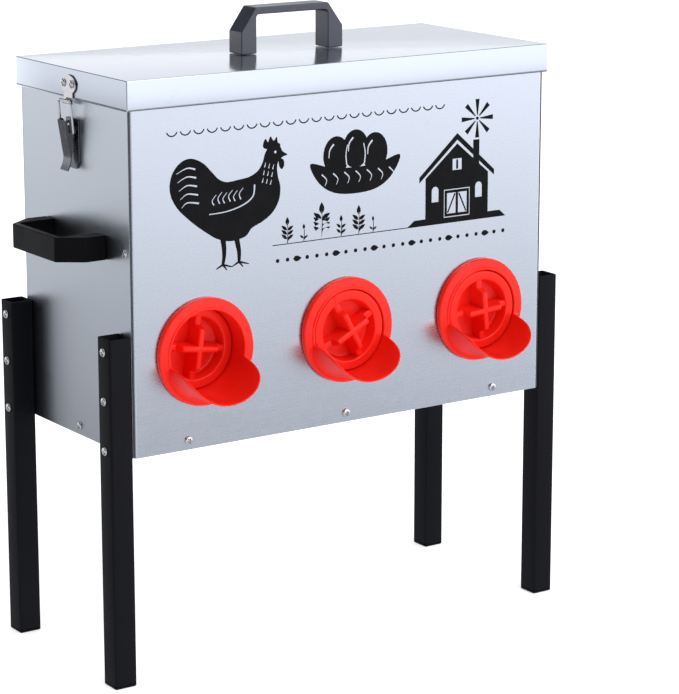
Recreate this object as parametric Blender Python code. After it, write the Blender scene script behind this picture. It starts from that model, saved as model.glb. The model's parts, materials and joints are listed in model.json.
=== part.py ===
"""Chicken feeder: a galvanised sheet-metal hopper on four tube legs, with three plugged feeding ports.

Frame: metres, +Z up, +X to the right of someone facing the front, front towards -Y.
The origin is on the floor, under the middle of the whole feeder.
Heights are measured from the floor, and depths from the outer face of the front panel.
"""
import math

import bmesh
import bpy

# ---- driving dimensions, in metres -----------------------------------------------------------
GAP = 0.0003                # left between pieces that touch
SHEET = 0.0008              # thickness of the galvanised sheet

BODY_WIDTH = 0.510
BODY_DEPTH = 0.222
BODY_BOTTOM = 0.239
LID_TOP = 0.618
LID_SKIRT = 0.030           # how far the lid's sides come down
LID_OVERHANG = 0.004        # lid's outside beyond the body's outside
FLANGE = 0.016              # folded-back edge of the front and back panels
FLOOR_FLANGE = 0.018        # turned-up edge of the floor panel

LEG_SIZE = 0.025            # square tube
LEG_WALL = 0.0015
LEG_TOP = 0.363
FRONT_LEG_DEPTH = 0.001     # front face of the front legs, behind the front panel
REAR_LEG_DEPTH = 0.207      # front face of the rear legs
FOOT_THICKNESS = 0.003
FOOT_PLUG_LENGTH = 0.018
LEG_SCREW_HEIGHTS = (0.349, 0.299, 0.248)

HANDLE_LENGTH = 0.126
HANDLE_HEIGHT = 0.048
HANDLE_DEPTH = 0.025
HANDLE_POST = 0.0185        # length of each foot along the handle
HANDLE_BAR = 0.0075         # thickness of the grip bar
HANDLE_CHAMFER = (0.018, 0.025)
HANDLE_EDGE_ROUND = 0.0012
SIDE_HANDLE_HEIGHT = 0.4457

PORT_SPACING = 0.172
PORT_HEIGHT = 0.3384
PORT_BORE = 0.043           # radii
PORT_TUBE = 0.0465
PORT_FLANGE = 0.0555
PORT_HOLE = 0.0469
PORT_FLANGE_THICKNESS = 0.0065
PORT_RIM = 0.0075           # raised rim round the bore
PORT_TUBE_LENGTH = 0.042    # behind the panel's outer face
SCOOP_REACH = 0.051         # how far the feeding scoop stands out in front of the panel
SCOOP_WALL = 0.003
SCOOP_FLARE = 0.001         # how much wider than the bore the scoop grows at its sides
SCOOP_START = 0.23          # sine of the angle below the port's axis where the scoop begins
SCOOP_FULLNESS = 2.55       # power that rounds the scoop's rim
PORT_SEGMENTS = 48
LOCK_RING_RADIUS = 0.057
LOCK_RING_LENGTH = 0.008

CAP_RADIUS = 0.0425
CAP_LENGTH = 0.020
CAP_WALL = 0.002
CAP_RECESS_RADIUS = 0.033
CAP_RECESS = 0.013
CAP_RIB_WIDTH = 0.0075
CAP_RIB_DROP = 0.001        # outer ends of the cross below the cap's face
CAP_GRIP_WIDTH = 0.006
CAP_GRIP_REACH = 0.022      # half length of the cross's raised middle
CAP_GRIP_RISE = 0.0085      # its height above the cap's face
CAP_SEGMENTS = 32
# for each port, from left to right: depth of the cap's face behind the panel, turn of its cross
CAP_SETTINGS = (("left", 0.015, -8.0), ("middle", -0.0065, 28.0), ("right", -0.0065, 5.0))

CHUTE_HALF_WIDTH = 0.248
CHUTE_TOP = 0.455
CHUTE_BEND = 0.430
CHUTE_FOOT_DEPTH = 0.095
CHUTE_FOOT_TOP = 0.270

SCREW_HEAD_RADIUS = 0.0045
SCREW_HEAD_HEIGHT = 0.0025
SCREW_SHANK_RADIUS = 0.002
SCREW_HOLE_RADIUS = 0.0024
SCREW_SEGMENTS = 10
SHEET_SCREW_LENGTH = 0.008
LEG_SCREW_LENGTH = 0.030
PANEL_SCREW_HEIGHT = 0.249
PANEL_SCREW_SPACING = 0.192
EDGE_SCREW_INSET = 0.0109

# latch: "out" is the distance from the side panel's outer face, "along" runs front to back
LATCH_PLATE = 0.0012
LATCH_PIVOT = (0.0095, 0.5635)      # out, height
BAIL_PIVOT = (0.0070, 0.5540)
BAIL_TOP = (0.0096, 0.5865)
BAIL_HALF_WIDTH = 0.0126
BAIL_WIRE = 0.00125                 # radius
BAIL_CORNER = 0.004
EAR_INNER = 0.0053                  # inner face of each ear of the base, from the latch's middle
EAR_OUTER = 0.0065
EAR_ROUND = 0.0025                  # radius of each ear's round end, about the pin
EAR_LEAN = math.radians(42)         # slope of the ears, down from the pin to the plate
CHEEK_INNER = 0.0068                # the same for the lever's cheeks
CHEEK_OUTER = 0.0080
PIN_RADIUS = 0.0015
PIN_HALF_LENGTH = 0.0084
PIVOT_CLEARANCE = 0.0003
BASE_HALF_WIDTH = 0.013
BASE_BOTTOM = 0.517
BASE_TOP = 0.568
CATCH_HEAD = (0.0150, 0.0100)       # half width and half height of the oval head
CATCH_HEAD_MIDDLE = 0.602
CATCH_NECK = 0.0085                 # half width
CATCH_BOTTOM = 0.582
CATCH_HOOK_REACH = 0.0080

# ---- worked out from the above ------------------------------------------------------------------
HALF_WIDTH = BODY_WIDTH / 2
FRONT = (SCOOP_REACH - REAR_LEG_DEPTH - LEG_SIZE) / 2   # Y of the front panel's outer face
MID_DEPTH = BODY_DEPTH / 2
WALL_TOP = LID_TOP - SHEET - GAP
SIDES = (("left", -1), ("right", 1))

FINISHES = {                # base colour, roughness, metallic
    "galvanised_sheet": ((0.72, 0.75, 0.79, 1.0), 0.32, 1.0),
    "black_coated_steel": ((0.016, 0.017, 0.020, 1.0), 0.42, 0.0),
    "black_plastic": ((0.025, 0.027, 0.034, 1.0), 0.38, 0.0),
    "red_plastic": ((0.80, 0.025, 0.020, 1.0), 0.25, 0.0),
    "bright_steel": ((0.70, 0.70, 0.72, 1.0), 0.22, 1.0),
}


# ---- mesh helpers -------------------------------------------------------------------------------
def clear_scene():
    """Remove every object that the scene starts with."""
    for old in list(bpy.data.objects):
        bpy.data.objects.remove(old)


def make_material(name):
    """Make one Principled material from the table of finishes."""
    colour, roughness, metallic = FINISHES[name]
    made = bpy.data.materials.new(name)
    made.use_nodes = True
    shader = made.node_tree.nodes["Principled BSDF"]
    shader.inputs["Base Color"].default_value = colour
    shader.inputs["Roughness"].default_value = roughness
    shader.inputs["Metallic"].default_value = metallic
    return made


def finish_object(name, data, finish, location):
    """Link a mesh or a curve as a named object with its finish, its origin at location."""
    made = bpy.data.objects.new(name, data)
    made.location = location
    bpy.context.scene.collection.objects.link(made)
    data.materials.append(bpy.data.materials.get(finish) or make_material(finish))
    return made


def add_part(name, shape, finish, location=(0, 0, 0), smooth=False):
    """Turn a bmesh drawn in the feeder's frame into an object whose origin is at location."""
    bmesh.ops.translate(shape, verts=shape.verts, vec=[-value for value in location])
    bmesh.ops.recalc_face_normals(shape, faces=shape.faces)
    data = bpy.data.meshes.new(name)
    shape.to_mesh(data)
    shape.free()
    if smooth:
        data.shade_smooth()
        data.set_sharp_from_angle(angle=math.radians(35))
    return finish_object(name, data, finish, location)


def add_tool(name, shape):
    """Keep a bmesh as a hidden tool for Boolean modifiers."""
    tool = add_part(name, shape, "bright_steel")
    tool.hide_render = True
    tool.display_type = "WIRE"
    return tool


def combine(part, tool, operation):
    """Join a tool to a part, or cut it out."""
    step = part.modifiers.new(tool.name, "BOOLEAN")
    step.operation = operation
    step.object = tool


def loft(shape, rings, closed=False):
    """Skin a row of rings that have the same number of points; closed joins the last to the first."""
    rows = [[shape.verts.new(point) for point in ring] for ring in rings]
    pairs = list(zip(rows, rows[1:]))
    if closed:
        pairs.append((rows[-1], rows[0]))
    else:
        shape.faces.new(rows[0])
        shape.faces.new(rows[-1])
    for lower, upper in pairs:
        count = len(lower)
        for index in range(count):
            after = (index + 1) % count
            shape.faces.new((lower[index], lower[after], upper[after], upper[index]))


def add_box(shape, low, high):
    """Add a closed box between two corners."""
    (x0, y0, z0), (x1, y1, z1) = low, high
    loft(shape, [[(x0, y0, z), (x1, y0, z), (x1, y1, z), (x0, y1, z)] for z in (z0, z1)])


def add_tray(shape, low, high, wall, open_height):
    """Add a box that is open at its top or bottom, whichever face lies at open_height."""
    (x0, y0, z0), (x1, y1, z1) = low, high
    closed_height = z0 if open_height == z1 else z1
    inner_height = closed_height + math.copysign(wall, open_height - closed_height)

    def rectangle(inset, height):
        return [(x0 + inset, y0 + inset, height), (x1 - inset, y0 + inset, height),
                (x1 - inset, y1 - inset, height), (x0 + inset, y1 - inset, height)]

    loft(shape, [rectangle(0, closed_height), rectangle(0, open_height),
                 rectangle(wall, open_height), rectangle(wall, inner_height)])


def add_prism(shape, outline, place, start, end):
    """Extrude a 2-D outline; place(u, v, w) turns outline and length into a point in space."""
    loft(shape, [[place(u, v, w) for u, v in outline] for w in (start, end)])


def add_cylinder(shape, place, radius, start, end, segments):
    """Add a closed cylinder about the w axis of place(u, v, w)."""
    add_prism(shape, circle(radius, segments), place, start, end)


def circle(radius, segments, centre=(0, 0), first=0.0, last=math.tau):
    """Points round a circle, or round the arc from first to last, which then holds both ends."""
    steps = segments if last - first >= math.tau else segments - 1
    angles = [first + (last - first) * index / steps for index in range(segments)]
    return [(centre[0] + radius * math.cos(a), centre[1] + radius * math.sin(a)) for a in angles]


def thicken(path, thickness):
    """Outline of a bent strip: the path on one side, and its mitred offset on the other."""
    normals = []
    for (u0, v0), (u1, v1) in zip(path, path[1:]):
        length = math.hypot(u1 - u0, v1 - v0)
        normals.append(((v0 - v1) / length, (u1 - u0) / length))
    offset = []
    for index, (u, v) in enumerate(path):
        before = normals[max(index - 1, 0)]
        after = normals[min(index, len(normals) - 1)]
        scale = thickness / (1 + before[0] * after[0] + before[1] * after[1])
        offset.append((u + (before[0] + after[0]) * scale, v + (before[1] + after[1]) * scale))
    return list(path) + offset[::-1]


# ---- screws -------------------------------------------------------------------------------------
def screw_list():
    """Every screw: name, point under its head, outward direction and length."""
    screws = []
    for side, sign in SIDES:
        for end, depth in (("front", FRONT_LEG_DEPTH), ("rear", REAR_LEG_DEPTH)):
            for number, height in enumerate(LEG_SCREW_HEIGHTS, 1):
                point = (sign * (HALF_WIDTH + GAP + LEG_SIZE), FRONT + depth + LEG_SIZE / 2, height)
                screws.append((f"{side}_{end}_leg_screw_{number}", point, (sign, 0), LEG_SCREW_LENGTH))
        side_points = (("floor", MID_DEPTH, PANEL_SCREW_HEIGHT),
                       ("front_edge", EDGE_SCREW_INSET, SIDE_HANDLE_HEIGHT),
                       ("rear_edge", BODY_DEPTH - EDGE_SCREW_INSET, SIDE_HANDLE_HEIGHT))
        for place, depth, height in side_points:
            point = (sign * HALF_WIDTH, FRONT + depth, height)
            screws.append((f"{side}_{place}_screw", point, (sign, 0), SHEET_SCREW_LENGTH))
    for number, step in enumerate((-1, 0, 1), 1):
        point = (step * PANEL_SCREW_SPACING, FRONT, PANEL_SCREW_HEIGHT)
        screws.append((f"front_screw_{number}", point, (0, -1), SHEET_SCREW_LENGTH))
    return screws


def screw_place(point, outward):
    """Function that puts (u, v, w) at a screw, with w along its outward axis and v up."""
    def place(u, v, w):
        along_x, along_y = outward
        return (point[0] + along_x * w - along_y * u, point[1] + along_y * w + along_x * u, point[2] + v)
    return place


def build_screws():
    """Pan-head screws, with one tool that cuts all their holes."""
    holes = bmesh.new()
    for name, point, outward, length in screw_list():
        place = screw_place(point, outward)
        add_cylinder(holes, place, SCREW_HOLE_RADIUS, -length - SHEET, SHEET, SCREW_SEGMENTS)
        profile = ((SCREW_SHANK_RADIUS, -length), (SCREW_SHANK_RADIUS, GAP), (SCREW_HEAD_RADIUS, GAP),
                   (SCREW_HEAD_RADIUS, SCREW_HEAD_HEIGHT / 2),
                   (SCREW_HEAD_RADIUS * 0.6, SCREW_HEAD_HEIGHT))
        screw = bmesh.new()
        loft(screw, [[place(u, v, w) for u, v in circle(radius, SCREW_SEGMENTS)] for radius, w in profile])
        add_part(name, screw, "bright_steel", point, smooth=True)
    return add_tool("screw_holes", holes)


# ---- hopper -------------------------------------------------------------------------------------
def folded_panel_outline(inward):
    """Plan of the front or back panel: a plate whose side edges are folded back inside the body."""
    near_edge = HALF_WIDTH - SHEET - GAP
    far_edge = near_edge - SHEET
    right = [(HALF_WIDTH, 0), (HALF_WIDTH, SHEET), (near_edge, SHEET), (near_edge, FLANGE),
             (far_edge, FLANGE), (far_edge, SHEET)]
    outline = right + [(-x, depth) for x, depth in reversed(right)]
    return [(x, inward * depth) for x, depth in outline]


def build_panels(screw_holes):
    """Front, back and side panels, and the floor panel with its turned-up edges."""
    def plan(u, v, w):
        return (u, v, w)

    port_holes = bmesh.new()
    for step in (-1, 0, 1):
        place = screw_place((step * PORT_SPACING, FRONT, PORT_HEIGHT), (0, -1))
        add_cylinder(port_holes, place, PORT_HOLE, -5 * SHEET, 5 * SHEET, PORT_SEGMENTS)
    port_holes = add_tool("port_holes", port_holes)

    for name, face, inward in (("front_panel", FRONT, 1), ("back_panel", FRONT + BODY_DEPTH, -1)):
        panel = bmesh.new()
        outline = [(x, face + depth) for x, depth in folded_panel_outline(inward)]
        add_prism(panel, outline, plan, BODY_BOTTOM, WALL_TOP)
        panel = add_part(name, panel, "galvanised_sheet", (0, face, BODY_BOTTOM))
        combine(panel, screw_holes, "DIFFERENCE")
        if name == "front_panel":
            combine(panel, port_holes, "DIFFERENCE")

    for side, sign in SIDES:
        panel = bmesh.new()
        inner, outer = sorted((sign * (HALF_WIDTH - SHEET), sign * HALF_WIDTH))
        margin = SHEET + GAP
        add_box(panel, (inner, FRONT + margin, BODY_BOTTOM),
                (outer, FRONT + BODY_DEPTH - margin, WALL_TOP))
        panel = add_part(f"{side}_side_panel", panel, "galvanised_sheet",
                         (sign * HALF_WIDTH, FRONT + MID_DEPTH, BODY_BOTTOM))
        combine(panel, screw_holes, "DIFFERENCE")

    floor = bmesh.new()
    half = HALF_WIDTH - 2 * (SHEET + GAP)
    low = (-half, FRONT + SHEET + GAP, BODY_BOTTOM)
    high = (half, FRONT + BODY_DEPTH - SHEET - GAP, BODY_BOTTOM + FLOOR_FLANGE)
    add_tray(floor, low, high, SHEET, high[2])
    floor = add_part("floor_panel", floor, "galvanised_sheet", (0, FRONT + MID_DEPTH, BODY_BOTTOM))
    combine(floor, screw_holes, "DIFFERENCE")


def build_chute():
    """Sloping baffle inside the hopper that sends the feed to the ports."""
    back = FRONT + BODY_DEPTH - SHEET - GAP
    front = FRONT + CHUTE_FOOT_DEPTH
    path = [(back, CHUTE_TOP), (back, CHUTE_BEND), (front, CHUTE_FOOT_TOP),
            (front, BODY_BOTTOM + SHEET + GAP)]
    shape = bmesh.new()
    add_prism(shape, thicken(path, -SHEET), lambda y, z, x: (x, y, z), -CHUTE_HALF_WIDTH,
              CHUTE_HALF_WIDTH)
    add_part("feed_chute", shape, "galvanised_sheet", (0, back, CHUTE_TOP))


def build_lid():
    """Lift-off lid: a shallow inverted tray."""
    shape = bmesh.new()
    half = HALF_WIDTH + LID_OVERHANG
    bottom = LID_TOP - LID_SKIRT
    add_tray(shape, (-half, FRONT - LID_OVERHANG, bottom),
             (half, FRONT + BODY_DEPTH + LID_OVERHANG, LID_TOP), SHEET, bottom)
    add_part("lid", shape, "galvanised_sheet", (0, FRONT + MID_DEPTH, LID_TOP))


# ---- handles ------------------------------------------------------------------------------------
def handle_outline():
    """Side view of a bow handle, its feet on v = 0: two posts, and a bar with sloping shoulders."""
    half = HANDLE_LENGTH / 2
    run, rise = HANDLE_CHAMFER
    inner = half - HANDLE_POST
    ceiling = HANDLE_HEIGHT - HANDLE_BAR
    cut = HANDLE_EDGE_ROUND
    right = [(inner, 0), (half, 0), (half, HANDLE_HEIGHT - rise), (half - run, HANDLE_HEIGHT)]
    roof = [(-inner, ceiling - cut), (cut - inner, ceiling), (inner - cut, ceiling), (inner, ceiling - cut)]
    return right + [(-u, v) for u, v in reversed(right)] + roof


def build_handles():
    """The lid's handle and one on each side, all from the same moulding."""
    middle = FRONT + MID_DEPTH

    def on_lid(u, v, w):
        return (u, middle + w, LID_TOP + GAP + v)

    places = [("lid_handle", on_lid, (0, middle, LID_TOP))]
    for side, sign in SIDES:
        def on_side(u, v, w, sign=sign):
            return (sign * (HALF_WIDTH + GAP + v), middle + u, SIDE_HANDLE_HEIGHT + w)
        places.append((f"{side}_handle", on_side, (sign * HALF_WIDTH, middle, SIDE_HANDLE_HEIGHT)))
    for name, place, location in places:
        shape = bmesh.new()
        add_prism(shape, handle_outline(), place, -HANDLE_DEPTH / 2, HANDLE_DEPTH / 2)
        handle = add_part(name, shape, "black_plastic", location)
        rounding = handle.modifiers.new("edge_round", "BEVEL")
        rounding.width = HANDLE_EDGE_ROUND
        rounding.segments = 2
        rounding.angle_limit = math.radians(60)


# ---- legs ---------------------------------------------------------------------------------------
def square(half, centre, height):
    """Corners of a level square."""
    x, y = centre
    return [(x - half, y - half, height), (x + half, y - half, height),
            (x + half, y + half, height), (x - half, y + half, height)]


def build_legs(screw_holes):
    """Square tube legs, open at the top, each with a plug foot."""
    half = LEG_SIZE / 2
    bore = half - LEG_WALL
    for side, sign in SIDES:
        for end, depth in (("front", FRONT_LEG_DEPTH), ("rear", REAR_LEG_DEPTH)):
            centre = (sign * (HALF_WIDTH + GAP + half), FRONT + depth + half)
            bottom = FOOT_THICKNESS + GAP
            tube = bmesh.new()
            loft(tube, [square(half, centre, bottom), square(half, centre, LEG_TOP),
                        square(bore, centre, LEG_TOP), square(bore, centre, bottom)], closed=True)
            tube = add_part(f"{side}_{end}_leg", tube, "black_coated_steel", (*centre, 0))
            combine(tube, screw_holes, "DIFFERENCE")

            plug = bore - GAP
            foot = bmesh.new()
            loft(foot, [square(half, centre, 0), square(half, centre, FOOT_THICKNESS),
                        square(plug, centre, FOOT_THICKNESS), square(plug, centre, FOOT_PLUG_LENGTH)])
            add_part(f"{side}_{end}_foot", foot, "black_plastic", (*centre, 0))


# ---- ports --------------------------------------------------------------------------------------
def scoop_rim(angle):
    """How far the rim stands out at an angle: a low lip above, a feeding scoop below."""
    share = max(0.0, (-math.sin(angle) - SCOOP_START) / (1 - SCOOP_START))
    return max(PORT_RIM, SCOOP_REACH * math.sqrt(1 - (1 - share) ** SCOOP_FULLNESS))


def port_ring(centre, radius, reach, segments=PORT_SEGMENTS):
    """Ring about a port's axis; radius and reach are numbers, or functions of the angle."""
    x, z = centre
    ring = []
    for index in range(segments):
        angle = math.tau * index / segments
        out = reach(angle) if callable(reach) else reach
        size = radius(angle) if callable(radius) else radius
        ring.append((x + size * math.cos(angle), FRONT - out, z + size * math.sin(angle)))
    return ring


def build_port_body(name, centre):
    """Flange, tube and scoop, moulded in one."""
    def flared(radius):
        return lambda angle: radius + SCOOP_FLARE * math.cos(angle) ** 2 * scoop_rim(angle) / SCOOP_REACH

    edge = 0.002
    rings = [
        port_ring(centre, flared(PORT_BORE), scoop_rim),
        port_ring(centre, flared(PORT_BORE + SCOOP_WALL), scoop_rim),
        port_ring(centre, PORT_TUBE, PORT_FLANGE_THICKNESS),
        port_ring(centre, PORT_FLANGE - edge, PORT_FLANGE_THICKNESS),
        port_ring(centre, PORT_FLANGE, PORT_FLANGE_THICKNESS - edge),
        port_ring(centre, PORT_FLANGE, GAP),
        port_ring(centre, PORT_TUBE, GAP),
        port_ring(centre, PORT_TUBE, -PORT_TUBE_LENGTH),
        port_ring(centre, PORT_BORE, -PORT_TUBE_LENGTH),
        port_ring(centre, PORT_BORE, 0.0),
    ]
    shape = bmesh.new()
    loft(shape, rings, closed=True)
    add_part(f"{name}_port", shape, "red_plastic", (centre[0], FRONT, centre[1]), smooth=True)


def build_lock_ring(name, centre):
    """Ring that clamps the port from inside the panel."""
    start = -SHEET - GAP
    end = start - LOCK_RING_LENGTH
    hole = PORT_HOLE
    shape = bmesh.new()
    loft(shape, [port_ring(centre, radius, reach, CAP_SEGMENTS) for radius, reach in
                 ((hole, start), (LOCK_RING_RADIUS, start), (LOCK_RING_RADIUS, end), (hole, end))],
         closed=True)
    add_part(f"{name}_lock_ring", shape, "red_plastic", (centre[0], FRONT, centre[1]), smooth=True)


def plus_outline(half, reach):
    """Outline of a cross: half is half the width of its arms, reach is their length."""
    return [(half, half), (half, reach), (-half, reach), (-half, half), (-reach, half), (-reach, -half),
            (-half, -half), (-half, -reach), (half, -reach), (half, -half), (reach, -half), (reach, half)]


def build_cap(name, centre, depth, turn):
    """Push-in cap: a thin moulded plug with a sunk face and a raised cross to grip it by."""
    face = -depth
    floor = face - CAP_RECESS
    chamfer = 0.001
    profile = (
        (CAP_RECESS_RADIUS - CAP_WALL, floor), (CAP_RECESS_RADIUS, face),
        (CAP_RADIUS - chamfer, face), (CAP_RADIUS, face - chamfer), (CAP_RADIUS, face - CAP_LENGTH),
        (CAP_RADIUS - CAP_WALL, face - CAP_LENGTH), (CAP_RADIUS - CAP_WALL, face - CAP_WALL),
        (CAP_RECESS_RADIUS + CAP_WALL, face - CAP_WALL), (CAP_RECESS_RADIUS, floor - CAP_WALL),
    )
    shape = bmesh.new()
    loft(shape, [port_ring(centre, radius, reach, CAP_SEGMENTS) for radius, reach in profile])
    cap = add_part(f"{name}_cap", shape, "red_plastic", (centre[0], FRONT + depth, centre[1]),
                   smooth=True)

    cosine, sine = math.cos(math.radians(turn)), math.sin(math.radians(turn))

    def place(u, v, w):
        return (centre[0] + u * cosine - v * sine, FRONT - w, centre[1] + u * sine + v * cosine)

    ribs = plus_outline(CAP_RIB_WIDTH / 2, CAP_RECESS_RADIUS + CAP_WALL / 2)
    cross = bmesh.new()
    add_prism(cross, ribs, place, floor - CAP_WALL / 2, face - CAP_RIB_DROP)
    combine(cap, add_tool(f"{name}_cross", cross), "UNION")
    grip = bmesh.new()
    grip_foot = face - 2 * CAP_RIB_DROP
    add_prism(grip, plus_outline(CAP_GRIP_WIDTH / 2, CAP_GRIP_REACH), place, grip_foot, face + CAP_GRIP_RISE)
    combine(cap, add_tool(f"{name}_grip", grip), "UNION")


def build_ports():
    """Three ports in a row, each with its lock ring and its cap."""
    for step, (name, depth, turn) in zip((-1, 0, 1), CAP_SETTINGS):
        centre = (step * PORT_SPACING, PORT_HEIGHT)
        build_port_body(name, centre)
        build_lock_ring(name, centre)
        build_cap(name, centre, depth, turn)


# ---- latches ------------------------------------------------------------------------------------
def latch_place(sign):
    """Function that turns (out, height, along) at one side into a point of the feeder's frame."""
    def place(out, height, along):
        return (sign * (HALF_WIDTH + out), FRONT + MID_DEPTH + along, height)
    return place


def add_hole(shape, place, pivot, radius):
    """Add a cylinder along a latch's pivot axis, long enough to cut both cheeks or ears."""
    def round_pivot(u, v, w):
        return place(pivot[0] + u, pivot[1] + v, w)
    add_cylinder(shape, round_pivot, radius, -2 * CHEEK_OUTER, 2 * CHEEK_OUTER, SCREW_SEGMENTS)


def build_latch_base(side, place):
    """Plate on the side panel, with two ears that carry the lever's pin."""
    plate = bmesh.new()
    half = BASE_HALF_WIDTH
    nose = half * 0.55
    outline = [(BASE_TOP, -half), (BASE_TOP, half), (BASE_BOTTOM + nose, half), (BASE_BOTTOM, nose),
               (BASE_BOTTOM, -nose), (BASE_BOTTOM + nose, -half)]
    add_prism(plate, outline, lambda u, v, w: place(w, u, v), GAP, GAP + LATCH_PLATE)
    base = add_part(f"{side}_latch_base", plate, "bright_steel", place(0, BASE_TOP, 0))

    out, height = LATCH_PIVOT
    foot = GAP + LATCH_PLATE / 2
    ear = circle(EAR_ROUND, 7, LATCH_PIVOT, EAR_LEAN - math.pi / 2, EAR_LEAN + math.pi / 2)
    for corner in (ear[-1], ear[0]):
        ear.append((foot, corner[1] - (corner[0] - foot) * math.tan(EAR_LEAN)))
    ears = bmesh.new()
    add_prism(ears, ear, place, EAR_INNER, EAR_OUTER)
    add_prism(ears, ear, place, -EAR_OUTER, -EAR_INNER)
    combine(base, add_tool(f"{side}_latch_ears", ears), "UNION")
    holes = bmesh.new()
    add_hole(holes, place, LATCH_PIVOT, PIN_RADIUS + PIVOT_CLEARANCE)
    combine(base, add_tool(f"{side}_latch_base_hole", holes), "DIFFERENCE")

    pin = bmesh.new()
    add_cylinder(pin, lambda u, v, w: place(out + u, height + v, w), PIN_RADIUS, -PIN_HALF_LENGTH,
                 PIN_HALF_LENGTH, SCREW_SEGMENTS)
    add_part(f"{side}_latch_pin", pin, "bright_steel", place(out, height, 0), smooth=True)


def build_latch_lever(side, place):
    """Channel-shaped lever with a turned-out finger tab."""
    skin = [(0.0138, 0.5665), (0.0070, 0.5250), (0.0110, 0.5160)]   # outer face, top to bottom
    web = bmesh.new()
    width = CHEEK_OUTER - LATCH_PLATE / 6
    add_prism(web, thicken(skin, -LATCH_PLATE), place, -width, width)
    lever = add_part(f"{side}_latch_lever", web, "bright_steel", place(*LATCH_PIVOT, 0))

    inside = LATCH_PLATE / 2
    cheek = [(0.0138 - inside, 0.5662), (0.0076 - inside, 0.5285), (0.0060, 0.5285), (0.0056, 0.5470),
             (0.0042, 0.5510), (0.0042, 0.5570)]
    cheek += [(0.0062, 0.5650), (0.0080, 0.5675), (0.0118, 0.5675)]
    cheeks = bmesh.new()
    add_prism(cheeks, cheek, place, CHEEK_INNER, CHEEK_OUTER)
    add_prism(cheeks, cheek, place, -CHEEK_OUTER, -CHEEK_INNER)
    combine(lever, add_tool(f"{side}_latch_cheeks", cheeks), "UNION")
    holes = bmesh.new()
    add_hole(holes, place, LATCH_PIVOT, PIN_RADIUS + PIVOT_CLEARANCE)
    add_hole(holes, place, BAIL_PIVOT, BAIL_WIRE + PIVOT_CLEARANCE)
    combine(lever, add_tool(f"{side}_latch_lever_holes", holes), "DIFFERENCE")


def build_latch_bail(side, place):
    """Wire loop that pulls on the catch; its ends turn into the lever's cheeks."""
    end = CHEEK_INNER + PIVOT_CLEARANCE
    rise = BAIL_TOP[1] - BAIL_PIVOT[1]

    def on_leg(height):
        share = (height - BAIL_PIVOT[1]) / rise
        return BAIL_PIVOT[0] + (BAIL_TOP[0] - BAIL_PIVOT[0]) * share

    turn = BAIL_CORNER / 2
    corner = circle(BAIL_CORNER, 4, (BAIL_HALF_WIDTH - BAIL_CORNER, BAIL_TOP[1] - BAIL_CORNER),
                    0.0, math.pi / 2)
    half = [(end, BAIL_PIVOT[1]), (BAIL_HALF_WIDTH - turn / 2, BAIL_PIVOT[1]),
            (BAIL_HALF_WIDTH, BAIL_PIVOT[1] + turn / 2)] + corner
    path = half + [(-along, height) for along, height in reversed(half)]
    origin = place(*BAIL_PIVOT, 0)

    data = bpy.data.curves.new(f"{side}_latch_bail", "CURVE")
    data.dimensions = "3D"
    data.bevel_depth = BAIL_WIRE
    data.bevel_resolution = 2
    data.use_fill_caps = True
    spline = data.splines.new("POLY")
    spline.points.add(len(path) - 1)
    for point, (along, height) in zip(spline.points, path):
        position = place(on_leg(height), height, along)
        point.co = (*[value - start for value, start in zip(position, origin)], 1.0)
    finish_object(f"{side}_latch_bail", data, "bright_steel", origin)


def build_latch_catch(side, place):
    """Plate on the lid with an oval head and a neck, hooked outwards at its lower end."""
    half_width, half_height = CATCH_HEAD
    swing = math.asin(CATCH_NECK / half_width)
    head = circle(1.0, 21, (0, 0), swing - math.pi / 2, 3 * math.pi / 2 - swing)
    outline = [(CATCH_NECK, CATCH_BOTTOM)]
    outline += [(half_width * u, CATCH_HEAD_MIDDLE + half_height * v) for u, v in head]
    outline += [(-CATCH_NECK, CATCH_BOTTOM)]
    inner = LID_OVERHANG + GAP
    outer = inner + LATCH_PLATE
    plate = bmesh.new()
    add_prism(plate, outline, lambda u, v, w: place(w, v, u), inner, outer)
    catch = add_part(f"{side}_latch_catch", plate, "bright_steel", place(0, CATCH_HEAD_MIDDLE, 0))

    lift = 0.0006
    path = [(inner + lift, CATCH_BOTTOM + lift), (CATCH_HOOK_REACH, CATCH_BOTTOM + lift),
            (CATCH_HOOK_REACH, CATCH_BOTTOM + 3.5 * LATCH_PLATE)]
    hook = bmesh.new()
    width = CATCH_NECK - lift
    add_prism(hook, thicken(path, LATCH_PLATE), place, -width, width)
    combine(catch, add_tool(f"{side}_latch_hook", hook), "UNION")


def build_latches():
    """A toggle latch on each side, half way back."""
    for side, sign in SIDES:
        place = latch_place(sign)
        build_latch_base(side, place)
        build_latch_lever(side, place)
        build_latch_bail(side, place)
        build_latch_catch(side, place)


def main():
    clear_scene()
    screw_holes = build_screws()
    build_panels(screw_holes)
    build_chute()
    build_lid()
    build_handles()
    build_legs(screw_holes)
    build_ports()
    build_latches()


main()
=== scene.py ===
"""Looks of the port chicken feeder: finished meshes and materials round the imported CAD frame."""
import json
from math import asin, atan2, copysign, cos, degrees, hypot, pi, radians, sin, sqrt, tan, tau

import bmesh
import bpy
from mathutils import Matrix, Vector


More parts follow.
